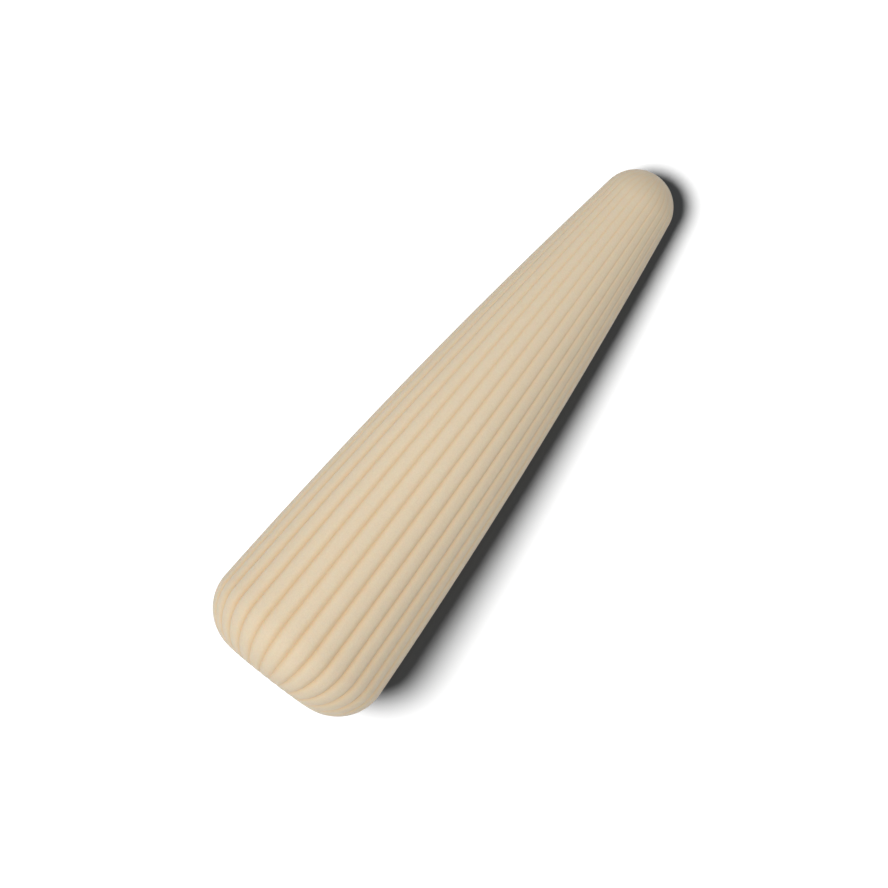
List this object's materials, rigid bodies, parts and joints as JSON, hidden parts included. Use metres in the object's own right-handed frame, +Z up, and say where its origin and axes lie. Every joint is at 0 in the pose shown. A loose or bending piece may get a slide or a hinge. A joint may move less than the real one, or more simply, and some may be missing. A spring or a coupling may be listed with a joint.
{
  "type": "bone folder",
  "caption": "Thick round creasing tool with a wide rounded butt, a domed nose and a soft cream skin with lengthwise ribs, for folding and burnishing paper.",
  "frame": {"origin": "on the floor, below the middle of the tool as it lies on its flank", "axes": "+X along the floor from the wide butt towards the nose, which the tool's own axis dips by 5.7 degrees; +Y across; +Z up"},
  "size_m": [0.1504, 0.0464, 0.0466],
  "materials": {
    "skin": "matte soft-touch silicone, cream",
    "core": "plain moulded",
    "plug": "fine matte"
  },
  "bodies": {
    "root": {"fluted_skin": "skin", "core_shell": "core", "base_plug": "plug"}
  },
  "joints": []
}
